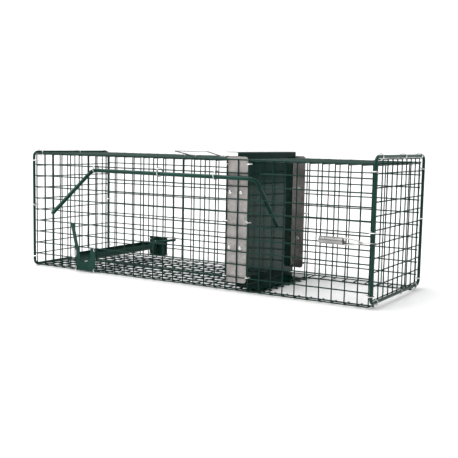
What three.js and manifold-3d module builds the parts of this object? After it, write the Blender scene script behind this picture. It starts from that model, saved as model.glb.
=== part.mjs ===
// Live catch trap: a wire mesh box with a hinged entry door at one end, a drop gate in guides that
// shuts off the catch chamber, a rocking trigger rod outside the front, and a treadle on the floor.
// Millimetres. +X runs from the closed end to the entry door, +Y to the back, +Z up. z = 0 is the
// ground, under the floor's long wires and the end frame, and x = 0, y = 0 is the middle of the mesh.

import * as THREE from 'three';
import { mergeVertices } from 'three/addons/utils/BufferGeometryUtils.js';
import Module from 'manifold-3d';

const wasm = await Module();
wasm.setup();

// Welded mesh. Each panel has two layers of wire: long wires outside, cross wires inside.
const PITCH = 25;
const WIRE = 2.2;
const LAYER_GAP = 0.3;
const SMALL_SWELL = 0.05;
const LARGE_SWELL = 0.1;
const CLEARANCE = 0.4;
const MESH_START = -401.1;
const MESH_END = 397;
const FIRST_CROSS = -375;
const LAST_CROSS = 396;
const SIDE_Y = 125;
const SIDE_ROWS = 10;
const ROW_0_Z = 3.3;
const SIDE_TOP_Z = 254.4;
const CEILING_Z = 252.2;
const FLOOR_Z = 2.2;
const FLOOR_EDGE_ROW = 100;
const FLOOR_END = 177.6;
const INSIDE_HALF_WIDTH = SIDE_Y - WIRE - CLEARANCE;

// Square panels at the two ends
const END_PITCH = 24.72;
const END_CELLS = 10;
const END_MESH_X = -399.5;
const END_MESH_Z = 127.2;

// Rod frames at the two ends
const FRAME_ROD = 6;
const FRAME_BEND = 11;
const END_FRAME = { x: -405, halfWidth: 128, low: 3, high: 256 };
const DOOR_FRAME = { x: 402, halfWidth: 128.5, low: 9.7, high: 266.7 };
const DOOR_MESH_Z = 138.2;
const BUTT_GAP = 0.5;

// Drop gate and its guide strips
const SHEET = 1.2;
const GATE_X = 122;
const CEILING_SPLIT_X = 125;
const GATE_HALF_WIDTH = 120;
const GATE_LOW = 5;
const GATE_HIGH = 268;
const GATE_TOP_FLANGE = 25;
const GATE_FOOT_FLANGE = 48;
const GATE_FOOT_HALF_WIDTH = 106.8;
const GUIDE_LOW = 17;
const GUIDE_HIGH = 259;
const GUIDE_LEG = 14;
const GUIDE_WIDTH = 47;
const GUIDE_CORNER = 6;
const GUIDE_SHEET = 1;
const GUIDE_SLOT = 2;

// Trigger rod
const TRIGGER_ROD = 8;
const TRIGGER_BENDS = [9, 18];
const TRIGGER_Y = -131.9;
const TRIGGER_OUTER = new THREE.Vector3(-230, TRIGGER_Y, 221);
const TRIGGER_INNER = new THREE.Vector3(168, TRIGGER_Y, 219);
const OUTER_TIP = new THREE.Vector3(-230, -251.1, 137.9);
const INNER_TIP = new THREE.Vector3(168, -40.4, 123.4);

// Treadle
const PIVOT = new THREE.Vector3(-256.5, 0, 39.2);
const TROUGH_RADIUS = 15.5;
const TROUGH_FRONT = -130.7;
const TROUGH_BACK = 112.8;
const TROUGH_RIM_ANGLE = THREE.MathUtils.degToRad(168);
const NOTCH_RADIUS = 17;
const LEVER_WIDTH = 9;
const LEVER_THICKNESS = 2;
const LEVER_LENGTH = 84;
const LEVER_SHIFT = 6.5;
const LEVER_FOOT_Z = 30;
const LEVER_LEAN = THREE.MathUtils.degToRad(19.6);
const ARM_ROD = 6;
const ARM_REACH = 66.5;
const ARM_RISE = 12.3;
const ARM_START = -8;
const PIN_DIAMETER = 8;
const PIN_CLEARANCE = 0.6;
const PIN_PROUD = 4;
const BRACKET_SHEET = 1.5;
const BRACKET_Y = SIDE_Y + WIRE + LAYER_GAP;
const FRONT_BRACKET = { left: -280, right: -225, top: 52.2 };
const BACK_BRACKET = { left: -274, right: -222, low: 6, top: 52 };

// Carrying handle on the top
const BAIL_ROD = 2.6;
const BAIL_BEND = 5;
const BAIL_EYES = [-54, 19];
const BAIL_GRIP = { left: -68, right: 17, y: -65, z: 266 };
const HINGE_WIRE_Z = CEILING_Z + (WIRE + LAYER_GAP / 2) / 2;
const EYE_RADIUS = 3.2;
const GUARD_PLATE = { from: -108, to: 8, halfWidth: 25, low: 247.3 };

// Door latch: a tension spring with a wire hook
const LATCH_X = 300;
const LATCH_Y = -135.2;
const LATCH_Z = 117.2;
const SPRING = { outer: 6.8, inner: 5, from: 3, length: 48 };
const HOOK_WIRE = 2;
const HOOK_REACH = 108.2;

// Hog rings
const RING_WIRE = 1.6;
const BEARING_RING = { radius: 9.2, y: -129.8, above: 3.2, along: [-222.8, -55.8, 78.7] };
const DOOR_RING = { radius: 7.4, x: 399.6, y: 126.7, heights: [21.5, 141.5, 241] };
const END_SIDE_RING = { radius: 7.6, x: -402.4, y: 126.1, at: [[-1, 138], [-1, 237], [1, 138]] };
const END_TOP_RING = { radius: 7.9, x: -402.3, z: 253.8, across: [-111.2, 12.4, 111.2] };
const STOP_RING = { radius: 7, centre: [-200, 119.5, 55.6] };

const trap = new THREE.Group();

// ---- materials ----

function finish(color, roughness, metalness) {
  return new THREE.MeshStandardMaterial({ color, roughness, metalness });
}

const coatedWire = () => finish(0x14362d, 0.42, 0);
const coatedSheet = () => finish(0x234a3c, 0.4, 0);
const glossGreen = () => finish(0x053027, 0.15, 0);
const galvanised = () => finish(0xa39e97, 0.42, 0.9);
const brightWire = () => finish(0xd6d6d2, 0.3, 1);

// ---- solids ----

function add(group, name, geometry, material) {
  const mesh = new THREE.Mesh(geometry, material);
  mesh.name = name;
  group.add(mesh);
  return mesh;
}

function box(xs, ys, zs) {
  const low = [Math.min(...xs), Math.min(...ys), Math.min(...zs)];
  const high = [Math.max(...xs), Math.max(...ys), Math.max(...zs)];
  const geometry = new THREE.BoxGeometry(high[0] - low[0], high[1] - low[1], high[2] - low[2]);
  return geometry.translate((high[0] + low[0]) / 2, (high[1] + low[1]) / 2, (high[2] + low[2]) / 2);
}

// A wire that spans both layers of its panel and ties the others together. It is swollen a little, so
// that no face of it lies in the plane of a face that it meets.
function tie(xs, ys, zs, swell) {
  const swollen = (range) => [Math.min(...range) - swell, Math.max(...range) + swell];
  return box(swollen(xs), swollen(ys), swollen(zs));
}

// Faces that should lie in one plane do so exactly once they are on a grid that 32 bits can hold.
const GRID = 1 / 1024;

function toSolid(geometry) {
  const bare = geometry.clone();
  bare.deleteAttribute('normal');
  bare.deleteAttribute('uv');
  const merged = mergeVertices(bare, 1e-4);
  const mesh = new wasm.Mesh({
    numProp: 3,
    vertProperties: merged.attributes.position.array.map((value) => Math.round(value / GRID) * GRID),
    triVerts: new Uint32Array(merged.index.array),
  });
  return new wasm.Manifold(mesh);
}

function join(geometries) {
  const solid = geometries.map(toSolid).reduce((whole, piece) => whole.add(piece));
  const mesh = solid.getMesh();
  const geometry = new THREE.BufferGeometry();
  geometry.setAttribute('position', new THREE.BufferAttribute(mesh.vertProperties, 3));
  geometry.setIndex(new THREE.BufferAttribute(mesh.triVerts, 1));
  geometry.computeVertexNormals();
  return geometry;
}

function around(centre, width = WIRE) {
  return [centre - width / 2, centre + width / 2];
}

function row(index) {
  return ROW_0_Z + PITCH * index;
}

function series(first, last, step) {
  const count = Math.floor((last - first) / step + 1e-6) + 1;
  return Array.from({ length: count }, (_, index) => first + step * index);
}

// A path that an extrusion steps through exactly at the given stations.
class StationPath extends THREE.Curve {
  constructor(stations) {
    super();
    this.stations = stations;
  }

  getPointAt(u, target = new THREE.Vector3()) {
    const index = Math.round(u * (this.stations.length - 1));
    return target.copy(this.stations[index]);
  }

  getTangentAt(u, target = new THREE.Vector3()) {
    const last = this.stations.length - 1;
    const index = Math.round(u * last);
    const here = this.stations[index];
    const before = here.clone().sub(this.stations[Math.max(index - 1, 0)]).normalize();
    const after = this.stations[Math.min(index + 1, last)].clone().sub(here).normalize();
    return target.copy(before).add(after).normalize();
  }

  getSpacedPoints() {
    return this.stations.map((station) => station.clone());
  }
}

// A round rod bent at each inner corner. `bends` is one radius, or a radius for each corner.
function bentRod(corners, diameter, bends, stepsPerBend = 4, sides = 8) {
  const stations = [corners[0]];
  for (let i = 1; i < corners.length - 1; i += 1) {
    const corner = corners[i];
    const bend = Array.isArray(bends) ? bends[i - 1] : bends;
    const incoming = corner.clone().sub(corners[i - 1]).normalize();
    const outgoing = corners[i + 1].clone().sub(corner).normalize();
    const turn = incoming.angleTo(outgoing);
    const axis = incoming.clone().cross(outgoing).normalize();
    const inward = outgoing.clone().sub(incoming).normalize();
    const centre = corner.clone().addScaledVector(inward, bend / Math.cos(turn / 2));
    const start = corner.clone().addScaledVector(incoming, -bend * Math.tan(turn / 2)).sub(centre);
    for (let step = 0; step <= stepsPerBend; step += 1) {
      const spoke = start.clone().applyAxisAngle(axis, (turn * step) / stepsPerBend);
      stations.push(spoke.add(centre));
    }
  }
  stations.push(corners[corners.length - 1]);
  const section = new THREE.Shape(polygon(diameter / 2, sides));
  const steps = stations.length - 1;
  return new THREE.ExtrudeGeometry(section, { steps, extrudePath: new StationPath(stations) });
}

function polygon(radius, sides) {
  const points = [];
  for (let i = 0; i < sides; i += 1) {
    const angle = (2 * Math.PI * (i + 0.5)) / sides;
    points.push(new THREE.Vector2(radius * Math.cos(angle), radius * Math.sin(angle)));
  }
  return points;
}

// An outline in x and z, made into a plate that spans y = -thickness .. 0.
function standingPlate(shape, thickness, curveSegments = 10) {
  const options = { depth: thickness, bevelEnabled: false, curveSegments };
  return new THREE.ExtrudeGeometry(shape, options).rotateX(Math.PI / 2);
}

// ---- mesh panels ----

const OUTER_LAYER = [SIDE_Y + LAYER_GAP / 2, SIDE_Y + WIRE];
const INNER_LAYER = [SIDE_Y - WIRE, SIDE_Y - LAYER_GAP / 2];
const BOTH_LAYERS = [SIDE_Y - WIRE, SIDE_Y + WIRE];

function onSide(side, layer) {
  return layer.map((y) => side * y);
}

// One side panel. The lowest wire and the last upright tie all the others together. Each cut takes
// the stretch between two places out of a row or an upright, and a weld joins a loose end.
function sidePanel(side, cutRows, cutUprights, welds) {
  const pieces = [];
  const rowAt = (index, from, to) =>
    pieces.push(box([from, to], onSide(side, OUTER_LAYER), around(row(index))));
  const uprightAt = (x, from, to) =>
    pieces.push(box(around(x), onSide(side, INNER_LAYER), [from, to]));

  for (let index = 1; index <= SIDE_ROWS; index += 1) {
    const cut = cutRows[index];
    rowAt(index, MESH_START, cut ? cut[0] : LAST_CROSS);
    if (cut) rowAt(index, cut[1], LAST_CROSS);
  }
  for (const x of series(FIRST_CROSS, LAST_CROSS - WIRE * 2, PITCH)) {
    const cut = cutUprights[x];
    uprightAt(x, ROW_0_Z, cut ? cut[0] : SIDE_TOP_Z);
    if (cut && cut[1] < SIDE_TOP_Z) uprightAt(x, cut[1], SIDE_TOP_Z);
  }
  for (const [x, index] of welds) {
    pieces.push(tie(around(x), onSide(side, BOTH_LAYERS), around(row(index)), SMALL_SWELL));
  }
  const bottom = [MESH_START + 6, LAST_CROSS];
  const height = [row(0) - WIRE / 2, SIDE_TOP_Z];
  rowAt(0, MESH_START, MESH_START + 7);
  pieces.push(tie(bottom, onSide(side, BOTH_LAYERS), around(row(0)), SMALL_SWELL));
  pieces.push(tie(around(LAST_CROSS), onSide(side, BOTH_LAYERS), height, LARGE_SWELL));
  return join(pieces);
}

function frontPanel() {
  const half = WIRE / 2;
  const cutRows = {
    1: [-275 + half, -225 - half],
    8: [150 + half, 175 - half],
    9: [150 + half, 175 - half],
  };
  const cutUprights = {
    '-250': [PIVOT.z - NOTCH_RADIUS - half, row(2) - half],
    175: [row(9) + half, SIDE_TOP_Z],
  };
  const welds = [[-275, 1], [150, 8], [150, 9], [-250, 2]];
  return sidePanel(-1, cutRows, cutUprights, welds);
}

// A flat panel of wires along X and across Y. `outward` is +1 for the top and -1 for the floor.
function levelPanel({ plane, outward, from, to, rows, crosses, tieCross, halfWidthAt }) {
  const long = [plane + (outward * LAYER_GAP) / 2, plane + outward * WIRE];
  const cross = [plane - outward * WIRE, plane - (outward * LAYER_GAP) / 2];
  const both = [plane - WIRE, plane + WIRE];
  const reach = rows[rows.length - 1] + WIRE;
  const pieces = rows.map((y) => box([from, to], around(y), long));
  const tieRow = rows[rows.length - 1];
  pieces.push(tie([crosses[0], crosses[crosses.length - 1]], around(tieRow), both, SMALL_SWELL));
  for (const x of crosses) {
    const half = halfWidthAt(x);
    pieces.push(box(around(x), [-half, half], cross));
  }
  pieces.push(tie(around(tieCross), [-reach, reach], both, LARGE_SWELL));
  return join(pieces);
}

const ROWS = series(-FLOOR_EDGE_ROW, FLOOR_EDGE_ROW, PITCH);

function topPanel(trapSide) {
  const crosses = trapSide
    ? series(FIRST_CROSS, 100, PITCH)
    : [...series(150, 375, PITCH), LAST_CROSS];
  return levelPanel({
    plane: CEILING_Z,
    outward: 1,
    from: trapSide ? MESH_START : CEILING_SPLIT_X + 9,
    to: trapSide ? CEILING_SPLIT_X - 9 : MESH_END,
    rows: ROWS,
    crosses,
    tieCross: trapSide ? FIRST_CROSS : LAST_CROSS,
    halfWidthAt: (x) => (x === 100 ? INSIDE_HALF_WIDTH - GUIDE_SHEET - CLEARANCE : INSIDE_HALF_WIDTH),
  });
}

function floorPanel() {
  return levelPanel({
    plane: FLOOR_Z,
    outward: -1,
    from: MESH_START,
    to: FLOOR_END,
    rows: ROWS,
    crosses: series(FIRST_CROSS, 175, PITCH),
    tieCross: FIRST_CROSS,
    halfWidthAt: () => INSIDE_HALF_WIDTH,
  });
}

// The row of cells that is left along each side of the entry compartment's open floor.
function floorStrip(side) {
  const pieces = [box([FLOOR_END + 1, MESH_END], around(side * FLOOR_EDGE_ROW), [0, 2 * FLOOR_Z])];
  for (const x of [...series(200, 375, PITCH), LAST_CROSS]) {
    const ys = [side * FLOOR_EDGE_ROW, side * INSIDE_HALF_WIDTH];
    pieces.push(box(around(x), ys, [FLOOR_Z + LAYER_GAP / 2, 2 * FLOOR_Z]));
  }
  return join(pieces);
}

// A square panel across X: uprights on its outward face, cross wires on its inward face. The middle
// wires tie the others together, and the edge wires stop short of the corners by `cornerCut`.
function squarePanel(outward, cornerCut) {
  const middle = END_CELLS / 2;
  const outer = [(outward * LAYER_GAP) / 2, outward * WIRE];
  const inner = [(-outward * LAYER_GAP) / 2, -outward * WIRE];
  const pieces = [];
  for (let index = -middle; index <= middle; index += 1) {
    const place = END_PITCH * index;
    const cut = Math.abs(index) === middle ? cornerCut : 0;
    const reach = END_PITCH * middle + WIRE / 2 - cut;
    pieces.push(box(outer, around(place), [-reach, reach]));
    pieces.push(box(inner, [-reach, reach], around(place)));
  }
  const span = [-END_PITCH * middle, END_PITCH * middle];
  pieces.push(tie([-WIRE, WIRE], around(0), span, SMALL_SWELL));
  pieces.push(tie([-WIRE, WIRE], span, around(0), LARGE_SWELL));
  return join(pieces);
}

function buildCage() {
  const cage = new THREE.Group();
  trap.add(cage);
  add(cage, 'mesh_front', frontPanel(), coatedWire());
  add(cage, 'mesh_back', sidePanel(1, {}, {}, []), coatedWire());
  add(cage, 'mesh_top_trap_side', topPanel(true), coatedWire());
  add(cage, 'mesh_top_entry_side', topPanel(false), coatedWire());
  add(cage, 'mesh_floor', floorPanel(), coatedWire());
  add(cage, 'floor_strip_front', floorStrip(-1), coatedWire());
  add(cage, 'floor_strip_back', floorStrip(1), coatedWire());
  add(cage, 'mesh_end', squarePanel(-1, 0), coatedWire()).position.set(END_MESH_X, 0, END_MESH_Z);
}

// ---- rod frames and door ----

// A rounded square of rod, butted in the middle of its lower side.
function rodFrame({ halfWidth, low, high }) {
  const at = (y, z) => new THREE.Vector3(0, y, z);
  const corners = [
    at(BUTT_GAP / 2, low),
    at(halfWidth, low),
    at(halfWidth, high),
    at(-halfWidth, high),
    at(-halfWidth, low),
    at(-BUTT_GAP / 2, low),
  ];
  return bentRod(corners, FRAME_ROD, FRAME_BEND);
}

function buildFrames() {
  const frame = add(trap, 'end_frame', rodFrame(END_FRAME), coatedWire());
  frame.position.x = END_FRAME.x;
  const door = new THREE.Group();
  door.position.x = DOOR_FRAME.x;
  trap.add(door);
  add(door, 'door_frame', rodFrame(DOOR_FRAME), coatedWire());
  add(door, 'door_mesh', squarePanel(1, 7), coatedWire()).position.z = DOOR_MESH_Z;
}

// ---- gate and guides ----

function buildGate() {
  const gate = new THREE.Group();
  gate.position.x = GATE_X;
  trap.add(gate);
  const half = SHEET / 2;
  const across = [-GATE_HALF_WIDTH, GATE_HALF_WIDTH];
  const foot = [-GATE_FOOT_HALF_WIDTH, GATE_FOOT_HALF_WIDTH];
  const sheet = join([
    box([-half, half], across, [GATE_LOW, GATE_HIGH]),
    box([-GATE_TOP_FLANGE, half], across, [GATE_HIGH - SHEET, GATE_HIGH]),
    box([-half, GATE_FOOT_FLANGE], foot, [GATE_LOW, GATE_LOW + SHEET]),
  ]);
  add(gate, 'gate', sheet, glossGreen());
}

function roundedPlate(width, low, high, corner) {
  const half = width / 2;
  const shape = new THREE.Shape();
  shape.moveTo(-half + corner, low);
  shape.lineTo(half - corner, low);
  shape.absarc(half - corner, low + corner, corner, -Math.PI / 2, 0, false);
  shape.lineTo(half, high - corner);
  shape.absarc(half - corner, high - corner, corner, 0, Math.PI / 2, false);
  shape.lineTo(-half + corner, high);
  shape.absarc(-half + corner, high - corner, corner, Math.PI / 2, Math.PI, false);
  shape.lineTo(-half, low + corner);
  shape.absarc(-half + corner, low + corner, corner, Math.PI, 1.5 * Math.PI, false);
  return shape;
}

// A strip flat against the side mesh, with two legs inwards that the edge of the gate slides between.
function guideStrip(side) {
  const face = INSIDE_HALF_WIDTH - GUIDE_SHEET;
  const strip = roundedPlate(GUIDE_WIDTH, GUIDE_LOW, GUIDE_HIGH, GUIDE_CORNER);
  const flange = standingPlate(strip, GUIDE_SHEET, 3);
  flange.translate(0, side > 0 ? INSIDE_HALF_WIDTH : -face, 0);
  const legs = [-1, 1].map((toEntry) => {
    const near = (toEntry * GUIDE_SLOT) / 2;
    const ends = [GUIDE_LOW + GUIDE_CORNER, GUIDE_HIGH - GUIDE_CORNER];
    return box([near, near + toEntry * SHEET], [side * (face - GUIDE_LEG), side * (face + 0.5)], ends);
  });
  return join([flange, ...legs]);
}

function buildGuides() {
  for (const [sideName, side] of [['front', -1], ['back', 1]]) {
    add(trap, `gate_guide_${sideName}`, guideStrip(side), galvanised()).position.x = GATE_X;
  }
}

// ---- trigger rod ----

function buildTrigger() {
  const corners = [OUTER_TIP, TRIGGER_OUTER, TRIGGER_INNER, INNER_TIP];
  add(trap, 'trigger_rod', bentRod(corners, TRIGGER_ROD, TRIGGER_BENDS), coatedWire());
}

// ---- treadle ----

// A half round trough, a little higher on its lever side, with a wall across its back end.
function trough() {
  const wall = TROUGH_RADIUS - SHEET;
  const section = new THREE.Shape();
  section.absarc(0, 0, TROUGH_RADIUS, TROUGH_RIM_ANGLE, 2 * Math.PI, false);
  section.lineTo(wall, 0);
  section.absarc(0, 0, wall, 2 * Math.PI, TROUGH_RIM_ANGLE, true);
  const shell = standingPlate(section, TROUGH_BACK - TROUGH_FRONT, 12);
  const cap = new THREE.Shape();
  cap.absarc(0, 0, TROUGH_RADIUS - SHEET / 2, TROUGH_RIM_ANGLE, 2 * Math.PI, false);
  const endWall = standingPlate(cap, SHEET, 12);
  return join([shell.translate(0, TROUGH_BACK, 0), endWall.translate(0, TROUGH_BACK, 0)]);
}

function lever() {
  const outline = new THREE.Shape();
  const foot = -TROUGH_RADIUS;
  outline.moveTo(foot, 0);
  outline.lineTo(foot + LEVER_WIDTH, 0);
  outline.lineTo(foot + LEVER_WIDTH + LEVER_SHIFT, LEVER_LENGTH);
  outline.lineTo(foot + LEVER_SHIFT, LEVER_LENGTH);
  outline.closePath();
  return standingPlate(outline, LEVER_THICKNESS);
}

function buildTreadle() {
  const treadle = new THREE.Group();
  treadle.position.copy(PIVOT);
  trap.add(treadle);
  add(treadle, 'treadle_trough', trough(), coatedSheet());

  const strip = add(treadle, 'treadle_lever', lever(), coatedSheet());
  strip.position.set(0, TROUGH_FRONT - LAYER_GAP, LEVER_FOOT_Z - PIVOT.z);
  strip.rotation.x = LEVER_LEAN;

  const armY = TROUGH_BACK + LAYER_GAP + ARM_ROD / 2;
  const start = new THREE.Vector3(ARM_START, armY, (ARM_START * ARM_RISE) / ARM_REACH);
  const tip = new THREE.Vector3(ARM_REACH, armY, ARM_RISE);
  add(treadle, 'treadle_stop_arm', bentRod([start, tip], ARM_ROD, 1), coatedWire());

  const pinFrom = armY + ARM_ROD / 2 + LAYER_GAP;
  const pinTo = BRACKET_Y + PIN_PROUD;
  const pin = new THREE.CylinderGeometry(PIN_DIAMETER / 2, PIN_DIAMETER / 2, pinTo - pinFrom, 12);
  add(treadle, 'treadle_pivot_pin', pin, coatedWire()).position.y = (pinFrom + pinTo) / 2;
}

function frontBracket() {
  const outline = new THREE.Shape();
  const left = FRONT_BRACKET.left - PIVOT.x;
  const right = FRONT_BRACKET.right - PIVOT.x;
  const bottom = ROW_0_Z - WIRE / 2 - PIVOT.z;
  const top = FRONT_BRACKET.top - PIVOT.z;
  outline.moveTo(left, bottom);
  outline.lineTo(right, bottom);
  outline.lineTo(right, top);
  outline.lineTo(NOTCH_RADIUS, top);
  outline.lineTo(NOTCH_RADIUS, 0);
  outline.absarc(0, 0, NOTCH_RADIUS, 2 * Math.PI, Math.PI, true);
  outline.lineTo(-NOTCH_RADIUS, top);
  outline.lineTo(left, top);
  outline.closePath();
  return standingPlate(outline, BRACKET_SHEET);
}

function backBracket() {
  const left = BACK_BRACKET.left - PIVOT.x;
  const right = BACK_BRACKET.right - PIVOT.x;
  const bottom = BACK_BRACKET.low - PIVOT.z;
  const top = BACK_BRACKET.top - PIVOT.z;
  const corners = [[left, bottom], [right, bottom], [right, top], [left, top]];
  const outline = new THREE.Shape(corners.map(([x, z]) => new THREE.Vector2(x, z)));
  outline.holes.push(new THREE.Path().absarc(0, 0, PIN_DIAMETER / 2 + PIN_CLEARANCE, 0, 2 * Math.PI, true));
  return standingPlate(outline, BRACKET_SHEET, 12);
}

function buildBrackets() {
  const front = add(trap, 'treadle_bracket_front', frontBracket(), coatedSheet());
  front.position.set(PIVOT.x, -BRACKET_Y, PIVOT.z);
  const back = add(trap, 'treadle_bracket_back', backBracket(), coatedSheet());
  back.position.set(PIVOT.x, BRACKET_Y + BRACKET_SHEET, PIVOT.z);
}

// ---- handle ----

function buildHandle() {
  const { left, right, y, z } = BAIL_GRIP;
  const hinge = new THREE.Vector3(0, 0, HINGE_WIRE_Z);
  const toGrip = new THREE.Vector3(0, y, z).sub(hinge).normalize();
  const root = toGrip.clone().multiplyScalar(EYE_RADIUS).add(hinge);
  const corners = [
    new THREE.Vector3(BAIL_EYES[0], root.y, root.z),
    new THREE.Vector3(left, y, z),
    new THREE.Vector3(right, y, z),
    new THREE.Vector3(BAIL_EYES[1], root.y, root.z),
  ];
  const pieces = [bentRod(corners, BAIL_ROD, BAIL_BEND)];
  for (const x of BAIL_EYES) {
    const eye = new THREE.TorusGeometry(EYE_RADIUS, BAIL_ROD / 2 - 0.2, 6, 12);
    pieces.push(eye.rotateY(Math.PI / 2).translate(x, 0, HINGE_WIRE_Z));
  }
  add(trap, 'handle_bail', join(pieces), galvanised());
  const { from, to, halfWidth, low } = GUARD_PLATE;
  const plate = box([from, to], [-halfWidth, halfWidth], [low, low + SHEET]);
  add(trap, 'handle_guard_plate', plate, coatedSheet());
}

// ---- latch ----

function buildLatch() {
  const latch = new THREE.Group();
  latch.position.set(LATCH_X, LATCH_Y, LATCH_Z);
  trap.add(latch);
  const { outer, inner, from, length } = SPRING;
  const profile = [[inner, 0], [outer, 0], [outer, length], [inner, length], [inner, 0]];
  const points = profile.map(([radius, along]) => new THREE.Vector2(radius, along));
  const coil = new THREE.LatheGeometry(points, 12).rotateZ(-Math.PI / 2);
  add(latch, 'latch_spring', coil, galvanised()).position.x = from;

  const start = new THREE.Vector3(from + length + LAYER_GAP, 0, 0);
  const bend = new THREE.Vector3(HOOK_REACH, 0.3, 0);
  const tip = new THREE.Vector3(HOOK_REACH, 10, 0);
  add(latch, 'latch_hook', bentRod([start, bend, tip], HOOK_WIRE, 3), brightWire());
}

// ---- hog rings ----

// A closed wire ring about `centre`, with its hole along `axis`.
function ring(name, centre, axis, radius) {
  const geometry = new THREE.TorusGeometry(radius, RING_WIRE / 2, 5, 12);
  if (axis === 'x') geometry.rotateY(Math.PI / 2);
  if (axis === 'y') geometry.rotateX(Math.PI / 2);
  add(trap, name, geometry, brightWire()).position.set(...centre);
}

function buildRings() {
  const slope = (TRIGGER_INNER.z - TRIGGER_OUTER.z) / (TRIGGER_INNER.x - TRIGGER_OUTER.x);
  BEARING_RING.along.forEach((x, index) => {
    const rodZ = TRIGGER_OUTER.z + slope * (x - TRIGGER_OUTER.x);
    const centre = [x, BEARING_RING.y, rodZ + BEARING_RING.above];
    ring(`trigger_bearing_ring_${index + 1}`, centre, 'x', BEARING_RING.radius);
  });
  DOOR_RING.heights.forEach((z, index) => {
    ring(`door_hinge_ring_${index + 1}`, [DOOR_RING.x, DOOR_RING.y, z], 'z', DOOR_RING.radius);
  });
  END_SIDE_RING.at.forEach(([side, z], index) => {
    const centre = [END_SIDE_RING.x, side * END_SIDE_RING.y, z];
    ring(`end_ring_side_${index + 1}`, centre, 'z', END_SIDE_RING.radius);
  });
  END_TOP_RING.across.forEach((y, index) => {
    ring(`end_ring_top_${index + 1}`, [END_TOP_RING.x, y, END_TOP_RING.z], 'y', END_TOP_RING.radius);
  });
  ring('treadle_stop_ring', STOP_RING.centre, 'z', STOP_RING.radius);
}

buildCage();
buildFrames();
buildGate();
buildGuides();
buildTrigger();
buildTreadle();
buildBrackets();
buildHandle();
buildLatch();
buildRings();

export default trap;
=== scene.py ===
"""A live catch trap: wire mesh, a drop gate, a trigger rod, a treadle and an entry door."""

import math
import random

import bmesh
import bpy
from mathutils import Matrix, Vector


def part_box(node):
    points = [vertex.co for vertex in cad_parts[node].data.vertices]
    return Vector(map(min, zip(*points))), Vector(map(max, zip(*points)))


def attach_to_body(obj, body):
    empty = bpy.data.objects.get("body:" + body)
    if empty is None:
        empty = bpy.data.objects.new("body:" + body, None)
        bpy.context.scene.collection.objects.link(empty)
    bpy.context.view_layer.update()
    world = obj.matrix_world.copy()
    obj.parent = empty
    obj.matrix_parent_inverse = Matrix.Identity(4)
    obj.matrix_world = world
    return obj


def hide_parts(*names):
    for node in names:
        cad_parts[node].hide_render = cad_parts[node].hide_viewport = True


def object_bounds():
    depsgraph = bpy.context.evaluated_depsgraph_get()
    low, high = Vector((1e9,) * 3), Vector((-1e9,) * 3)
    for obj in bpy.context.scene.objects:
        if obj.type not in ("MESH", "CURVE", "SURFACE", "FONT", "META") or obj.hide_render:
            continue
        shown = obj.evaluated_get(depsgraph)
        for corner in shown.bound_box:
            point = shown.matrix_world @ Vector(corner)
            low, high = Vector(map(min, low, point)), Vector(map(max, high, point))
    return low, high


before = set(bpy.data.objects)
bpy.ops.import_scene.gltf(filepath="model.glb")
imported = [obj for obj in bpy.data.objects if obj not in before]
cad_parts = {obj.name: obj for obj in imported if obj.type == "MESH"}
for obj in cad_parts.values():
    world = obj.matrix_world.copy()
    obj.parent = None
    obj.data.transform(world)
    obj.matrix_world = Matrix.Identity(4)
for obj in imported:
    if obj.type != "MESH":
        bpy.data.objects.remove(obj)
FIRST_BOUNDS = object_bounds()
rng = random.Random(7)

MM = 0.001
PITCH = 25 * MM
WIRE = 1.22 * MM
FRAME_ROD = 3 * MM
RING_WIRE = 1.0 * MM


# ---- mesh tools ----


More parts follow.
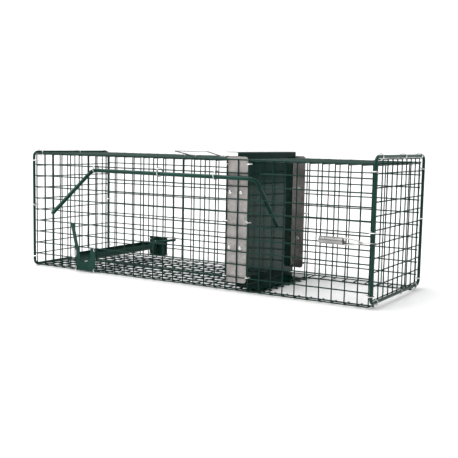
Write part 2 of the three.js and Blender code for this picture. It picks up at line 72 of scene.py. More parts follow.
class Shape:
    """Vertices and faces collected for one piece."""

    def __init__(self):
        self.verts, self.faces = [], []

    def tube(self, points, radius, sides=8, round_ends=True, radii=None):
        """A round wire along points, with a frame carried along it so that it does not twist."""
        points = [Vector(p) for p in points]
        count = len(points)
        radii = radii or [radius] * count
        if round_ends:
            first = points[0] + (points[0] - points[1]).normalized() * radius * 0.5
            last = points[-1] + (points[-1] - points[-2]).normalized() * radius * 0.5
            points = [first] + points + [last]
            radii = [radii[0] * 0.55] + list(radii) + [radii[-1] * 0.55]
            count += 2
        tangents = []
        for i in range(count):
            ahead = points[min(i + 1, count - 1)]
            behind = points[max(i - 1, 0)]
            tangents.append((ahead - behind).normalized())
        side = tangents[0].orthogonal().normalized()
        base = len(self.verts)
        for i in range(count):
            side = (side - tangents[i] * side.dot(tangents[i])).normalized()
            up = tangents[i].cross(side)
            for k in range(sides):
                turn = 2 * math.pi * k / sides
                offset = side * math.cos(turn) + up * math.sin(turn)
                self.verts.append(points[i] + offset * radii[i])
        for i in range(count - 1):
            here, there = base + i * sides, base + (i + 1) * sides
            for k in range(sides):
                n = (k + 1) % sides
                self.faces.append((here + k, here + n, there + n, there + k))
        self.faces.append(tuple(base + k for k in reversed(range(sides))))
        last = base + (count - 1) * sides
        self.faces.append(tuple(last + k for k in range(sides)))

    def blob(self, centre, radius):
        """The fillet of coating at a weld."""
        base = len(self.verts)
        for z, r in ((-0.75, 0.66), (0.0, 1.0), (0.75, 0.66)):
            for k in range(6):
                turn = math.pi * k / 3
                offset = Vector((math.cos(turn) * r, math.sin(turn) * r, z))
                self.verts.append(Vector(centre) + offset * radius)
        for ring in range(2):
            for k in range(6):
                n = (k + 1) % 6
                low, high = base + ring * 6, base + ring * 6 + 6
                self.faces.append((low + k, low + n, high + n, high + k))
        self.faces.append(tuple(base + k for k in reversed(range(6))))
        self.faces.append(tuple(base + 12 + k for k in range(6)))

    def plate(self, outline, thickness, across, place=(0, 0, 0)):
        """A flat sheet: outline points (u, v), given thickness along the axis named by across."""
        base, count = len(self.verts), len(outline)
        for depth in (0, thickness):
            for u, v in outline:
                point = {"x": (depth, u, v), "y": (u, depth, v), "z": (u, v, depth)}[across]
                self.verts.append(Vector(place) + Vector(point))
        self.faces.append(tuple(base + i for i in range(count)))
        self.faces.append(tuple(base + count + i for i in reversed(range(count))))
        for i in range(count):
            n = (i + 1) % count
            self.faces.append((base + n, base + i, base + count + i, base + count + n))

    def build(self, name, material, smooth=True):
        data = bpy.data.meshes.new(name)
        data.from_pydata([tuple(v) for v in self.verts], [], self.faces)
        edit = bmesh.new()
        edit.from_mesh(data)
        bmesh.ops.recalc_face_normals(edit, faces=edit.faces)
        edit.to_mesh(data)
        edit.free()
        data.materials.append(material)
        piece = bpy.data.objects.new(name, data)
        bpy.context.scene.collection.objects.link(piece)
        if smooth:
            data.polygons.foreach_set("use_smooth", [True] * len(data.polygons))
            data.set_sharp_from_angle(angle=math.radians(40))
        return piece


def bevel(piece, width, segments=3):
    modifier = piece.modifiers.new("edges", "BEVEL")
    modifier.width = width
    modifier.segments = segments
    modifier.limit_method = "ANGLE"
    modifier.angle_limit = math.radians(35)
    return piece


def attach(piece, body, slot, *nodes):
    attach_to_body(piece, body)
    if nodes:
        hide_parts(*nodes)
    return piece


def series(start, end, step):
    count = round((end - start) / step)
    return [start + step * i for i in range(count + 1)]


def rounded(corners, radii, steps=7):
    """Points of a bent rod through corners, each bend a true arc of its own radius."""
    corners = [Vector(c) for c in corners]
    if not isinstance(radii, (list, tuple)):
        radii = [radii] * (len(corners) - 2)
    points = [corners[0]]
    for before, corner, after, radius in zip(corners, corners[1:], corners[2:], radii):
        a, b = (before - corner).normalized(), (after - corner).normalized()
        half = a.angle(b) / 2
        reach = radius / math.tan(half)
        centre = corner + (a + b).normalized() * (radius / math.sin(half))
        start, end = corner + a * reach, corner + b * reach
        for i in range(steps + 1):
            u, v = start - centre, end - centre
            whole = u.angle(v)
            t = i / steps
            arm = (u * math.sin((1 - t) * whole) + v * math.sin(t * whole)) / math.sin(whole)
            points.append(centre + arm)
    points.append(corners[-1])
    return points


# ---- materials ----


def nodes_of(name):
    material = bpy.data.materials.new(name)
    material.use_nodes = True
    tree = material.node_tree
    return material, tree, tree.nodes["Principled BSDF"]


def place_texture(tree, kind, scale, **settings):
    coords = tree.nodes.new("ShaderNodeTexCoord")
    texture = tree.nodes.new(kind)
    tree.links.new(coords.outputs["Object"], texture.inputs["Vector"])
    texture.inputs["Scale"].default_value = scale
    for key, value in settings.items():
        texture.inputs[key].default_value = value
    return texture


def ramp(tree, source, stops):
    node = tree.nodes.new("ShaderNodeValToRGB")
    node.color_ramp.elements[0].position, node.color_ramp.elements[0].color = stops[0]
    node.color_ramp.elements[1].position, node.color_ramp.elements[1].color = stops[-1]
    for position, colour in stops[1:-1]:
        node.color_ramp.elements.new(position).color = colour
    tree.links.new(source, node.inputs["Fac"])
    return node.outputs["Color"]


def grey(value):
    return (value, value, value, 1)


def add_bump(tree, shader, source, strength, distance):
    bump = tree.nodes.new("ShaderNodeBump")
    bump.inputs["Strength"].default_value = strength
    bump.inputs["Distance"].default_value = distance
    tree.links.new(source, bump.inputs["Height"])
    tree.links.new(bump.outputs["Normal"], shader.inputs["Normal"])


def coated(name, dark, light, rough_low, rough_high, specular):
    """Coated steel: uneven green, orange peel, soft sheen and lighter scuffed spots."""
    material, tree, shader = nodes_of(name)
    broad = place_texture(tree, "ShaderNodeTexNoise", 18, Detail=5)
    fine = place_texture(tree, "ShaderNodeTexNoise", 420, Detail=3)
    colour = ramp(tree, broad.outputs["Fac"], [(0.3, (*dark, 1)), (0.7, (*light, 1))])
    scuffs = place_texture(tree, "ShaderNodeTexNoise", 95, Detail=8, Distortion=1.2)
    worn = ramp(tree, scuffs.outputs["Fac"], [(0.66, grey(0)), (0.72, grey(0.55))])
    mix = tree.nodes.new("ShaderNodeMix")
    mix.data_type = "RGBA"
    mix.inputs["B"].default_value = (*[min(1, c * 1.9 + 0.006) for c in light], 1)
    tree.links.new(worn, mix.inputs["Factor"])
    tree.links.new(colour, mix.inputs["A"])
    tree.links.new(mix.outputs["Result"], shader.inputs["Base Color"])
    rough = ramp(tree, fine.outputs["Fac"], [(0.3, grey(rough_low)), (0.7, grey(rough_high))])
    tree.links.new(rough, shader.inputs["Roughness"])
    shader.inputs["Specular IOR Level"].default_value = specular
    shader.inputs["Specular Tint"].default_value = (0.6, 1, 0.88, 1)
    shader.inputs["IOR"].default_value = 1.48
    add_bump(tree, shader, fine.outputs["Fac"], 0.18, 0.0002)
    return material


def zinc(name, dark, light, roughness, grain, metallic=0.9):
    """Galvanised metal: a cell spangle, drawn scratches and dull patches."""
    material, tree, shader = nodes_of(name)
    spangle = place_texture(tree, "ShaderNodeTexVoronoi", grain)
    patches = place_texture(tree, "ShaderNodeTexNoise", 35, Detail=6)
    scratches = place_texture(tree, "ShaderNodeTexNoise", 900, Detail=2)
    mix = tree.nodes.new("ShaderNodeMix")
    mix.data_type = "RGBA"
    mix.inputs["Factor"].default_value = 0.55
    tree.links.new(ramp(tree, spangle.outputs["Color"], [(0, (*dark, 1)), (1, (*light, 1))]),
                   mix.inputs["A"])
    tree.links.new(ramp(tree, patches.outputs["Fac"], [(0.35, (*dark, 1)), (0.65, (*light, 1))]),
                   mix.inputs["B"])
    tree.links.new(mix.outputs["Result"], shader.inputs["Base Color"])
    rough = ramp(tree, patches.outputs["Fac"],
                 [(0.3, grey(roughness)), (0.7, grey(roughness + 0.15))])
    tree.links.new(rough, shader.inputs["Roughness"])
    shader.inputs["Metallic"].default_value = metallic
    add_bump(tree, shader, scratches.outputs["Fac"], 0.12, 0.0001)
    return material


GREEN_WIRE = coated("coated wire", (0.002, 0.017, 0.012), (0.004, 0.03, 0.022), 0.36, 0.5, 0.25)
GREEN_ROD = coated("coated rod", (0.002, 0.024, 0.017), (0.006, 0.042, 0.031), 0.32, 0.46, 0.3)
GREEN_SHEET = coated("coated sheet", (0.003, 0.03, 0.021), (0.008, 0.048, 0.035), 0.36, 0.5, 0.25)
GATE_PAINT = coated("gate paint", (0.0004, 0.017, 0.012), (0.001, 0.026, 0.019), 0.06, 0.1, 0.13)
STRIP_ZINC = zinc("galvanised sheet", (0.27, 0.255, 0.25), (0.52, 0.495, 0.48), 0.45, 160, 0.75)
SPRING_ZINC = zinc("spring wire", (0.3, 0.3, 0.29), (0.6, 0.59, 0.57), 0.24, 500, 1)
BRIGHT = zinc("bright wire", (0.72, 0.72, 0.7), (0.88, 0.88, 0.86), 0.22, 600, 1)


# ---- mesh panels ----


def wire_line(shape, start, end, step=PITCH, wander=0.22 * MM):
    """A nearly straight wire with the small waves of welding."""
    start, end = Vector(start), Vector(end)
    count = max(1, round((end - start).length / step))
    points = []
    for i in range(count + 1):
        point = start.lerp(end, i / count)
        if 0 < i < count:
            point += Vector([rng.uniform(-wander, wander) for _ in range(3)])
        points.append(point)
    shape.tube(points, WIRE)


def side_panel(node, side):
    low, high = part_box(node)
    outer = (low.y if side < 0 else high.y) - side * WIRE * 0.85
    inner = (high.y if side < 0 else low.y) + side * WIRE * 0.85
    rows = [0.0033 + PITCH * k for k in range(11)]
    uprights = series(-0.375, 0.375, PITCH) + [high.x - WIRE]
    front = side < 0
    shape = Shape()
    for k, z in enumerate(rows):
        spans = [(low.x, high.x)]
        if front and k == 1:
            spans = [(low.x, -0.2745), (-0.2255, high.x)]
        if front and k in (8, 9):
            spans = [(low.x, 0.151), (0.174, high.x)]
        for a, b in spans:
            wire_line(shape, (a, outer, z), (b, outer, z))
    for x in uprights:
        spans = [(low.z + 0.001, high.z)]
        if front and abs(x + 0.25) < 0.001:
            spans = [(low.z + 0.001, 0.0211), (0.0522, high.z)]
        if front and abs(x - 0.175) < 0.001:
            spans = [(low.z + 0.001, 0.2283)]
        for a, b in spans:
            wire_line(shape, (x, inner, a), (x, inner, b))
            for z in rows:
                gone = front and ((abs(z - rows[1]) < 0.001 and -0.27 < x < -0.23)
                                  or (z > 0.2 and z < 0.23 and x > 0.17 and x < 0.18))
                if a <= z + 0.001 and z - 0.001 <= b and not gone:
                    shape.blob((x, (outer + inner) / 2, z), WIRE * 1.15)
    return attach(shape.build(node + "_wires", GREEN_WIRE), "cage", "coated_wire", node)


def level_panel(node, outward, rows, crosses, half_at):
    low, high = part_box(node)
    long_z = (high.z if outward > 0 else low.z) - outward * WIRE * 0.85
    cross_z = (low.z if outward > 0 else high.z) + outward * WIRE * 0.85
    shape = Shape()
    for y in rows:
        wire_line(shape, (low.x, y, long_z), (high.x, y, long_z))
    for x in crosses:
        half = half_at(x)
        wire_line(shape, (x, -half, cross_z), (x, half, cross_z))
        for y in rows:
            shape.blob((x, y, (long_z + cross_z) / 2), WIRE * 1.15)
    return attach(shape.build(node + "_wires", GREEN_WIRE), "cage", "coated_wire", node)


def floor_strip(node, side):
    low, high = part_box(node)
    edge = side * 0.1
    shape = Shape()
    wire_line(shape, (low.x, edge, low.z + WIRE), (high.x, edge, low.z + WIRE))
    reach = high.y if side > 0 else low.y
    for x in series(0.2, 0.375, PITCH) + [0.396]:
        wire_line(shape, (x, edge, high.z - WIRE), (x, reach, high.z - WIRE))
        shape.blob((x, edge, (low.z + high.z) / 2), WIRE * 1.15)
    return attach(shape.build(node + "_wires", GREEN_WIRE), "cage", "coated_wire", node)


def end_panel(node, body, outward, corner):
    low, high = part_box(node)
    middle_z, half = (low.z + high.z) / 2, (high.z - low.z) / 2 - WIRE
    outer = (high.x if outward > 0 else low.x) - outward * WIRE * 0.85
    inner = (low.x if outward > 0 else high.x) + outward * WIRE * 0.85
    pitch = half / 5
    shape = Shape()
    for i in range(-5, 6):
        reach = half - (corner if abs(i) == 5 else 0)
        place = pitch * i
        wire_line(shape, (outer, place, middle_z - reach), (outer, place, middle_z + reach))
        wire_line(shape, (inner, -reach, middle_z + place), (inner, reach, middle_z + place))
        for j in range(-5, 6):
            if not (abs(i) == 5 and abs(j) == 5 and corner):
                centre = ((outer + inner) / 2, pitch * j, middle_z + place)
                shape.blob(centre, WIRE * 1.15)
    return attach(shape.build(node + "_wires", GREEN_WIRE), body, "coated_wire", node)


LONG_ROWS = series(-0.1, 0.1, PITCH)
side_panel("mesh_front", -1)
side_panel("mesh_back", 1)
level_panel("mesh_top_trap_side", 1, LONG_ROWS, series(-0.375, 0.1, PITCH),
            lambda x: 0.121 if x > 0.099 else 0.1224)
level_panel("mesh_top_entry_side", 1, LONG_ROWS, series(0.15, 0.375, PITCH) + [0.396],
            lambda x: 0.1224)
level_panel("mesh_floor", -1, LONG_ROWS, series(-0.375, 0.175, PITCH), lambda x: 0.1224)
floor_strip("floor_strip_front", -1)
floor_strip("floor_strip_back", 1)
end_panel("mesh_end", "cage", -1, 0)
end_panel("door_mesh", "door", 1, 7 * MM)


# ---- rod frames ----


def rod_frame(node, body):
    low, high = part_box(node)
    x, r = (low.x + high.x) / 2, FRAME_ROD
    gap = 0.25 * MM
    corners = [(x, gap, low.z + r), (x, high.y - r, low.z + r), (x, high.y - r, high.z - r),
               (x, low.y + r, high.z - r), (x, low.y + r, low.z + r), (x, -gap, low.z + r)]
    shape = Shape()
    shape.tube(rounded(corners, 11 * MM), r * 0.99, sides=14, round_ends=False)
    shape.blob((x, 0, low.z + r), r * 1.12)
    return attach(shape.build(node + "_rod", GREEN_ROD), body, "coated_wire", node)


rod_frame("end_frame", "cage")
rod_frame("door_frame", "door")


# ---- gate and its guides ----

gate_low, gate_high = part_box("gate")
GATE_X = gate_low.x + 25 * MM
SHEET = 1.2 * MM
FOOT_HALF_WIDTH = 106.8 * MM


def folded(points, thickness):
    """The closed outline of a sheet bent along points, for a profile in two dimensions."""
    points = [Vector(p) for p in points]
    left, right = [], []
    for i, point in enumerate(points):
        ahead = points[min(i + 1, len(points) - 1)] - points[max(i - 1, 0)]
        normal = Vector((-ahead.y, ahead.x)).normalized() * thickness / 2
        left.append(point + normal)
        right.append(point - normal)
    return [tuple(p) for p in left + right[::-1]]


def sweep(shape, outline, half, steps=24):
    """A profile in x and z carried along y, from -half to half."""
    base, count = len(shape.verts), len(outline)
    for i in range(steps + 1):
        y = -half + 2 * half * i / steps
        shape.verts.extend(Vector((u, y, v)) for u, v in outline)
    for i in range(steps):
        for k in range(count):
            n = (k + 1) % count
            a, b = base + i * count, base + (i + 1) * count
            shape.faces.append((a + k, a + n, b + n, b + k))
    shape.faces.append(tuple(base + k for k in range(count)))
    shape.faces.append(tuple(base + steps * count + k for k in reversed(range(count))))


def bend_points(centre, radius, start, end, steps=6):
    points = []
    for i in range(steps + 1):
        turn = math.radians(start + (end - start) * i / steps)
        points.append((centre[0] + radius * math.cos(turn), centre[1] + radius * math.sin(turn)))
    return points


def build_gate():
    """The top flange and the sheet at full width, and the narrower foot that clears the guides."""
    x, r = GATE_X, 2.2 * MM
    top, bottom = gate_high.z - SHEET / 2, gate_low.z + SHEET / 2
    sheet = [(gate_low.x, top)] + bend_points((x - r, top - r), r, 90, 0) + [(x, bottom + r)]
    foot = bend_points((x + r, bottom + r), r, 180, 270) + [(gate_high.x, bottom)]
    shape = Shape()
    sweep(shape, folded(sheet, SHEET), (gate_high.y - gate_low.y) / 2)
    sweep(shape, folded(foot, SHEET), FOOT_HALF_WIDTH)
    attach(shape.build("gate_sheet", GATE_PAINT), "gate", "gloss_green_sheet", "gate")


build_gate()


def corner_outline(u0, u1, v0, v1, radius, steps=6):
    points = []
    for cu, cv, start in ((u1, v0, -90), (u1, v1, 0), (u0, v1, 90), (u0, v0, 180)):
        centre_u = cu + (-radius if cu == u1 else radius)
        centre_v = cv + (-radius if cv == v1 else radius)
        for i in range(steps + 1):
            turn = math.radians(start + 90 * i / steps)
            points.append((centre_u + radius * math.cos(turn), centre_v + radius * math.sin(turn)))
    return points


def dome(shape, centre, axis, radius, height, sides=14):
    """A rivet head with a small dimple in its middle."""
    axis = Vector(axis).normalized()
    side = axis.orthogonal().normalized()
    up = axis.cross(side)
    base = len(shape.verts)
    levels = [(1.0, -0.4), (1.0, 0.2), (0.85, 0.7), (0.55, 1.0), (0.34, 0.9), (0.26, 0.25)]
    for r, h in levels:
        for k in range(sides):
            turn = 2 * math.pi * k / sides
            offset = (side * math.cos(turn) + up * math.sin(turn)) * radius * r
            shape.verts.append(Vector(centre) + offset + axis * height * h)
    for i in range(len(levels) - 1):
        for k in range(sides):
            n = (k + 1) % sides
            a, b = base + i * sides, base + (i + 1) * sides
            shape.faces.append((a + k, a + n, b + n, b + k))
    shape.faces.append(tuple(base + k for k in reversed(range(sides))))
    last = base + (len(levels) - 1) * sides
    shape.faces.append(tuple(last + k for k in range(sides)))


def build_guide(node, side, rivet_heights):
    low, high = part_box(node)
    face = low.y if side < 0 else high.y - 1 * MM
    half = (high.x - low.x) / 2
    middle = (low.x + high.x) / 2
    shape = Shape()
    shape.plate(corner_outline(middle - half, middle + half, low.z, high.z, 6 * MM), 1 * MM, "y",
                (0, face, 0))
    inside = face + 1 * MM if side < 0 else face
    for way in (-1, 1):
        near = middle + way * 1 * MM
        us = sorted((near, near + way * SHEET))
        ends = sorted((inside - side * 14 * MM, inside + side * 0.4 * MM))
        shape.plate([(us[0], low.z + 6 * MM), (us[1], low.z + 6 * MM),
                     (us[1], high.z - 6 * MM), (us[0], high.z - 6 * MM)],
                    ends[1] - ends[0], "y", (0, ends[0], 0))
    strip = bevel(shape.build(node + "_strip", STRIP_ZINC), 0.25 * MM, 2)
    attach(strip, "cage", "galvanised_steel", node)
    rivets = Shape()
    outside = face if side < 0 else face + 1 * MM
    inside_face = face + 1 * MM if side < 0 else face
    for z in rivet_heights:
        for x in (middle - 15 * MM, middle + 9 * MM):
            dome(rivets, (x, outside, z), (0, side, 0), 4 * MM, 1.5 * MM)
            dome(rivets, (x, inside_face, z), (0, -side, 0), 4 * MM, 1.2 * MM)
    attach(rivets.build(node + "_rivets", BRIGHT), "cage", "bright_wire")


build_guide("gate_guide_front", -1, (0.191, 0.084))
build_guide("gate_guide_back", 1, (0.189, 0.081))


# ---- trigger rod ----

SHAFT_Y = -131.9 * MM
trigger_corners = [(-0.23, -0.2511, 0.1379), (-0.23, SHAFT_Y, 0.221), (0.168, SHAFT_Y, 0.219),
                   (0.168, -0.0404, 0.1234)]
trigger = Shape()
trigger.tube(rounded(trigger_corners, (9 * MM, 18 * MM), 9), 4 * MM, sides=18)
attach(trigger.build("trigger_rod_bent", GREEN_ROD), "trigger", "coated_wire", "trigger_rod")


# ---- treadle ----

trough_low, trough_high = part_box("treadle_trough")
PIVOT_X, PIVOT_Z = -0.2565, 0.0392


def build_trough():
    shape = Shape()
    outer, inner = 15.5 * MM, 14.3 * MM
    steps, rows = 28, 16
    profile = []
    for i in range(steps + 1):
        turn = math.radians(168 + 192 * i / steps)
        profile.append((outer * math.cos(turn), outer * math.sin(turn)))
    for i in range(steps, -1, -1):
        turn = math.radians(168 + 192 * i / steps)
        profile.append((inner * math.cos(turn), inner * math.sin(turn)))
    count = len(profile)
    for j in range(rows + 1):
        y = trough_low.y + (trough_high.y - trough_low.y) * j / rows
        dent = 1 + 0.006 * math.sin(j * 1.7)
        shape.verts.extend(Vector((PIVOT_X + u * dent, y, PIVOT_Z + v * dent)) for u, v in profile)
    for j in range(rows):
        for k in range(count):
            n = (k + 1) % count
            a, b = j * count, (j + 1) * count
            shape.faces.append((a + k, a + n, b + n, b + k))
    shape.faces.append(tuple(range(count)))
    shape.faces.append(tuple(rows * count + k for k in reversed(range(count))))
    wall = [(PIVOT_X + 14.4 * MM * math.cos(math.radians(a)),
             PIVOT_Z + 14.4 * MM * math.sin(math.radians(a))) for a in range(168, 361, 8)]
    shape.plate(wall, 1.2 * MM, "y", (0, trough_high.y - 1.2 * MM, 0))
    piece = bevel(shape.build("treadle_trough_sheet", GREEN_SHEET), 0.25 * MM, 2)
    attach(piece, "treadle", "coated_sheet", "treadle_trough")


def build_lever():
    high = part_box("treadle_lever")[1]
    shape = Shape()
    length, width = 84 * MM, 9 * MM
    steps = 12
    for i in range(steps + 1):
        t = i / steps
        along = length * t
        curl = 0.8 * MM * math.sin(math.pi * t)
        for u in (-0.5, 0.5):
            for depth in (-0.5, 0.5):
                shape.verts.append(Vector((-11 * MM + u * width + 6.5 * MM * t,
                                           depth * 2 * MM - curl, along)))
    for i in range(steps):
        a, b = i * 4, i * 4 + 4
        for p, q in ((0, 1), (1, 3), (3, 2), (2, 0)):
            shape.faces.append((a + p, a + q, b + q, b + p))
    shape.faces.append((0, 2, 3, 1))
    shape.faces.append((steps * 4, steps * 4 + 1, steps * 4 + 3, steps * 4 + 2))
    lean = Matrix.Rotation(math.radians(19.6), 4, "X")
    foot = Matrix.Translation((PIVOT_X, high.y - 1.2 * MM, 0.030)) @ lean
    shape.verts = [foot @ v for v in shape.verts]
    piece = bevel(shape.build("treadle_lever_strip", GREEN_SHEET), 0.5 * MM, 3)
    attach(piece, "treadle", "coated_sheet", "treadle_lever")


build_trough()
build_lever()

arm_low, arm_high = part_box("treadle_stop_arm")
arm_y = (arm_low.y + arm_high.y) / 2
arm = Shape()
arm.tube([(PIVOT_X - 0.008, arm_y, PIVOT_Z - 0.0015), (PIVOT_X + 0.03, arm_y, PIVOT_Z + 0.0055),
          (PIVOT_X + 0.0665, arm_y, PIVOT_Z + 0.0123)], 3 * MM, sides=14)
attach(arm.build("treadle_stop_arm_rod", GREEN_ROD), "treadle", "coated_wire", "treadle_stop_arm")

pin_low, pin_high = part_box("treadle_pivot_pin")
pin = Shape()
pin.tube([(PIVOT_X, pin_low.y, PIVOT_Z), (PIVOT_X, pin_high.y - 1.5 * MM, PIVOT_Z)], 4 * MM, 18)
attach(pin.build("treadle_pin_rod", GREEN_ROD), "treadle", "coated_wire", "treadle_pivot_pin")


# ---- brackets and guard plate ----


def build_front_bracket():
    low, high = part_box("treadle_bracket_front")
    notch = 17 * MM
    arc = [(PIVOT_X + notch * math.cos(math.radians(a)), PIVOT_Z + notch * math.sin(math.radians(a)))
           for a in range(0, -181, -9)]
    outline = [(low.x, low.z), (high.x, low.z), (high.x, high.z), (PIVOT_X + notch, high.z)]
    outline += arc + [(PIVOT_X - notch, high.z), (low.x, high.z)]
    shape = Shape()
    shape.plate(outline, high.y - low.y, "y", (0, low.y, 0))
    piece = bevel(shape.build("treadle_bracket_front_sheet", GREEN_SHEET), 0.3 * MM)
    attach(piece, "cage", "coated_sheet", "treadle_bracket_front")


def build_back_bracket():
    low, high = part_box("treadle_bracket_back")
    outer = corner_outline(low.x, high.x, low.z, high.z, 2 * MM, 5)
    hole = [(PIVOT_X + 4.6 * MM * math.cos(math.radians(a)),
             PIVOT_Z + 4.6 * MM * math.sin(math.radians(a))) for a in range(0, 360, 15)]
    bm = bmesh.new()
    rings = []
    for outline in (outer, hole):
        verts = [bm.verts.new((u, low.y, v)) for u, v in outline]
        rings += [bm.edges.new((verts[i], verts[(i + 1) % len(verts)])) for i in range(len(verts))]
    bmesh.ops.triangle_fill(bm, use_beauty=True, edges=rings)
    grown = bmesh.ops.extrude_face_region(bm, geom=list(bm.faces))["geom"]
    moved = [g for g in grown if isinstance(g, bmesh.types.BMVert)]
    bmesh.ops.translate(bm, verts=moved, vec=(0, high.y - low.y, 0))
    bmesh.ops.recalc_face_normals(bm, faces=bm.faces)
    data = bpy.data.meshes.new("treadle_bracket_back_sheet")
    bm.to_mesh(data)
    bm.free()
    data.materials.append(GREEN_SHEET)
    piece = bpy.data.objects.new("treadle_bracket_back_sheet", data)
    bpy.context.scene.collection.objects.link(piece)
    attach(bevel(piece, 0.3 * MM), "cage", "coated_sheet", "treadle_bracket_back")


def build_guard_plate():
    low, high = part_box("handle_guard_plate")
    shape = Shape()
    shape.plate(corner_outline(low.x, high.x, low.y, high.y, 3 * MM), high.z - low.z, "z",
                (0, 0, low.z))
    piece = bevel(shape.build("handle_guard_plate_sheet", GREEN_SHEET), 0.3 * MM)
    attach(piece, "cage", "coated_sheet", "handle_guard_plate")


build_front_bracket()
build_back_bracket()
build_guard_plate()


# ---- carrying handle ----

HINGE_Z = 0.253375
grip_y, grip_z = -0.065, 0.266
to_grip = Vector((0, grip_y, grip_z - HINGE_Z)).normalized()
bail = Shape()
eye = 3.2 * MM
root = Vector((0, 0, HINGE_Z)) + to_grip * eye
path = [(-0.054, root.y, root.z), (-0.068, grip_y, grip_z), (0.017, grip_y, grip_z),
        (0.019, root.y, root.z)]
bail.tube(rounded(path, 5 * MM), 1.3 * MM, sides=12)
for x in (-0.054, 0.019):
    points = []
    for i in range(28):
        turn = 2 * math.pi * i / 20
        points.append((x + 1.1 * MM * (i / 20 - 0.7), eye * math.cos(turn),
                       HINGE_Z + eye * math.sin(turn)))
    bail.tube(points, 1.1 * MM, sides=10)
attach(bail.build("handle_bail_wire", SPRING_ZINC), "handle", "galvanised_steel", "handle_bail")


# ---- door latch ----

spring_low, spring_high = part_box("latch_spring")
LATCH_Y = (spring_low.y + spring_high.y) / 2
LATCH_Z = (spring_low.z + spring_high.z) / 2


def build_latch():
    wire, radius, turns = 0.95 * MM, 5.85 * MM, 25
    start, end = spring_low.x + wire, spring_high.x - wire
    coil = Shape()
    steps = turns * 16
    points = []
    for i in range(steps + 1):
        turn = 2 * math.pi * i / 16
        points.append((start + (end - start) * i / steps, LATCH_Y + radius * math.cos(turn),
                       LATCH_Z + radius * math.sin(turn)))
    coil.tube(points, wire, sides=8)
    tail = [(start, LATCH_Y + radius, LATCH_Z), (start - 1.6 * MM, LATCH_Y + radius * 1.1, LATCH_Z),
            (start - 3.2 * MM, LATCH_Y + radius * 1.5, LATCH_Z + 1 * MM)]
    coil.tube(tail, wire, sides=8)
    attach(coil.build("latch_spring_coil", SPRING_ZINC), "latch", "galvanised_steel", "latch_spring")
    hook_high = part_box("latch_hook")[1]
    tip = end + 35 * MM
    hook = Shape()
    for way in (-1, 1):
        hook.tube([(end - 1 * MM, LATCH_Y, LATCH_Z + way * 5.4 * MM),
                   (end + 4 * MM, LATCH_Y, LATCH_Z + way * 5.6 * MM),
                   (tip - 16 * MM, LATCH_Y, LATCH_Z + way * 4.4 * MM),
                   (tip - 5 * MM, LATCH_Y, LATCH_Z + way * 2.2 * MM),
                   (tip, LATCH_Y, LATCH_Z + way * 0.4 * MM)], 1.2 * MM, sides=10)
    straight = [(tip - 3 * MM, LATCH_Y, LATCH_Z), (hook_high.x - 5 * MM, LATCH_Y, LATCH_Z + 0.4 * MM)]
    curl = []
    for i in range(9):
        turn = math.radians(-90 + 150 * i / 8)
        curl.append((hook_high.x - 5 * MM + 4 * MM * math.cos(turn),
                     LATCH_Y + 4 * MM + 4 * MM * math.sin(turn), LATCH_Z + 0.4 * MM))
    hook.tube(straight[:1] + [straight[1]] + curl[1:], 0.9 * MM, sides=8)
    attach(hook.build("latch_hook_wire", SPRING_ZINC), "latch", "bright_wire", "latch_hook")


build_latch()


# ---- hog rings ----


def hog_ring(shape, centre, axis, radius, open_turn=0.0, squash=0.8):
    """A crimped hog ring: nearly closed, a little flattened, its two sharp ends side by side."""
    across = {"x": (Vector((0, 1, 0)), Vector((0, 0, 1))), "y": (Vector((1, 0, 0)), Vector((0, 0, 1))),
              "z": (Vector((1, 0, 0)), Vector((0, 1, 0)))}[axis]
    normal = across[0].cross(across[1])
    points, radii = [], []
    steps = 30
    for i in range(steps + 1):
        turn = math.radians(open_turn + 365 * i / steps)
        offset = across[0] * math.cos(turn) * radius + across[1] * math.sin(turn) * radius * squash
        points.append(Vector(centre) + offset + normal * RING_WIRE * 2 * (i / steps - 0.5))
        radii.append(RING_WIRE * (0.5 if i in (0, steps) else 1))
    shape.tube(points, RING_WIRE, sides=8, radii=radii)


def ring_for(node, axis):
    low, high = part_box(node)
    centre = (low + high) / 2
    size = max(high - low) / 2 - RING_WIRE
    shape = Shape()
    hog_ring(shape, centre, axis, size, rng.uniform(0, 360), rng.uniform(0.9, 1))
    attach(shape.build(node + "_wire", BRIGHT), "cage", "bright_wire", node)


for index in (1, 2, 3):
    ring_for(f"trigger_bearing_ring_{index}", "x")
    ring_for(f"door_hinge_ring_{index}", "z")
    ring_for(f"end_ring_side_{index}", "z")
    ring_for(f"end_ring_top_{index}", "y")
ring_for("treadle_stop_ring", "z")


def loose_rings(name, body, places):
    shape = Shape()
    for centre, axis, radius in places:
        hog_ring(shape, centre, axis, radius * MM, rng.uniform(0, 360))
    attach(shape.build(name, BRIGHT), body, "bright_wire")


bracket_low, bracket_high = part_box("treadle_bracket_front")
back_low, back_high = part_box("treadle_bracket_back")
guard_low, guard_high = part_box("handle_guard_plate")
loose_rings("front_bracket_rings", "cage", [
    ((bracket_high.x - 2 * MM, bracket_low.y + 1 * MM, bracket_high.z - 2 * MM), "x", 4.5),
    ((bracket_high.x - 2 * MM, bracket_low.y + 1 * MM, bracket_low.z + 3 * MM), "x", 4.5),
    ((bracket_low.x + 2 * MM, bracket_low.y + 1 * MM, bracket_low.z + 3 * MM), "x", 4.5),
    ((bracket_low.x - 8 * MM, bracket_low.y + 2 * MM, 0.030), "z", 4.0),
])
loose_rings("back_bracket_rings", "cage", [
    ((x, back_high.y - 1 * MM, z), "z", 4.5)
    for x in (back_low.x + 2 * MM, back_high.x - 2 * MM)
    for z in (back_low.z + 5 * MM, back_high.z - 5 * MM)
])
loose_rings("guard_plate_rings", "cage", [
    ((x, y, guard_high.z + 2 * MM), "y", 3.6)
    for x, y in ((guard_low.x + 8 * MM, -0.0215), (guard_high.x - 8 * MM, -0.0215),
                 (guard_low.x + 8 * MM, 0.0215), (guard_high.x - 8 * MM, 0.0215))
])
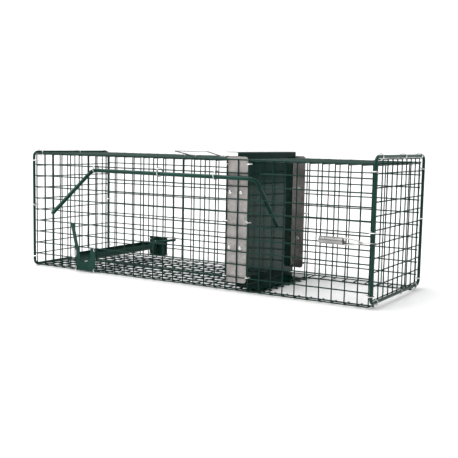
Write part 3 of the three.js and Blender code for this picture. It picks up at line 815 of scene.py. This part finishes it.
loose_rings("guide_edge_rings_front", "cage", [
    ((x, -0.1245, z), "z", 5) for x in (0.1, 0.15) for z in (0.246, 0.136, 0.030)
])
loose_rings("guide_edge_rings_back", "cage", [
    ((x, 0.1245, z), "z", 5) for x in (0.1, 0.15) for z in (0.246, 0.136, 0.027)
])
door_low, door_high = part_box("door_frame")
door_x = (door_low.x + door_high.x) / 2 - 1.5 * MM
loose_rings("door_mesh_rings", "door", [
    ((door_x, door_low.y + 3 * MM, z), "z", 6.4) for z in (0.024, 0.135, 0.240)
] + [
    ((door_x, y, door_low.z + 3 * MM), "y", 6.4) for y in (-0.105, 0.02, 0.105)
] + [
    ((door_x, y, door_high.z - 3 * MM), "y", 6.4) for y in (-0.105, 0.012, 0.105)
])
end_low, end_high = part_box("end_frame")
end_x = (end_low.x + end_high.x) / 2 + 1.5 * MM
loose_rings("end_lower_rings", "cage", [
    ((end_x, side * (end_high.y - 3 * MM), 0.022), "z", 6.4) for side in (-1, 1)
])


# ---- room, light and camera ----


def set_stage():
    data = bpy.data.meshes.new("floor")
    data.from_pydata([(-60, -60, 0), (60, -60, 0), (60, 60, 0), (-60, 60, 0)], [], [(0, 1, 2, 3)])
    floor = bpy.data.objects.new("floor", data)
    bpy.context.scene.collection.objects.link(floor)
    material, _, shader = nodes_of("pale floor")
    shader.inputs["Base Color"].default_value = (0.93, 0.93, 0.93, 1)
    shader.inputs["Roughness"].default_value = 0.9
    data.materials.append(material)
    floor.location.z = FIRST_BOUNDS[0].z - 0.0003
    world = bpy.data.worlds.new("studio")
    bpy.context.scene.world = world
    world.use_nodes = True
    tree = world.node_tree
    coords = tree.nodes.new("ShaderNodeTexCoord")
    backdrop = tree.nodes.new("ShaderNodeVectorMath")
    backdrop.operation = "DOT_PRODUCT"
    backdrop.inputs[1].default_value = (-0.55, 0.45, 0.75)
    tree.links.new(coords.outputs["Generated"], backdrop.inputs[0])
    bright = ramp(tree, backdrop.outputs["Value"],
                  [(0.0, grey(0.3)), (0.12, grey(0.3)), (0.42, grey(1))])
    tree.links.new(bright, tree.nodes["Background"].inputs["Color"])
    tree.nodes["Background"].inputs["Strength"].default_value = 1.05


def area_light(name, place, target, size, power):
    light = bpy.data.lights.new(name, "AREA")
    light.shape = "RECTANGLE"
    light.size, light.size_y = size
    light.energy = power
    lamp = bpy.data.objects.new(name, light)
    bpy.context.scene.collection.objects.link(lamp)
    lamp.location = place
    lamp.rotation_euler = (Vector(target) - Vector(place)).to_track_quat("-Z", "Y").to_euler()


def sun_light(name, direction, strength, spread):
    light = bpy.data.lights.new(name, "SUN")
    light.energy = strength
    light.angle = math.radians(spread)
    lamp = bpy.data.objects.new(name, light)
    bpy.context.scene.collection.objects.link(lamp)
    lamp.rotation_euler = Vector(direction).to_track_quat("-Z", "Y").to_euler()


def set_camera():
    yaw, pitch, roll = 0.5499, 0.1104, 0.0191
    ahead = Vector((-math.sin(yaw) * math.cos(pitch), math.cos(yaw) * math.cos(pitch),
                    -math.sin(pitch)))
    right = Vector((math.cos(yaw), math.sin(yaw), 0))
    up = right.cross(ahead)
    turned = right * math.cos(roll) + up * math.sin(roll)
    upright = up * math.cos(roll) - right * math.sin(roll)
    data = bpy.data.cameras.new("camera")
    data.lens, data.sensor_width = 62.873, 36
    data.clip_start = 0.01
    camera = bpy.data.objects.new("camera", data)
    bpy.context.scene.collection.objects.link(camera)
    turn = Matrix((turned, upright, -ahead)).transposed().to_4x4()
    camera.matrix_world = Matrix.Translation((0.9064, -1.4279, 0.2895)) @ turn
    bpy.context.scene.camera = camera


set_stage()
sun_light("overhead", (0.3, 0.2, -1), 1.7, 50)
area_light("key", (-1.3, -1.7, 1.7), (0, 0, 0.1), (1.2, 0.9), 14)
bpy.context.scene.view_settings.view_transform = "Standard"
set_camera()
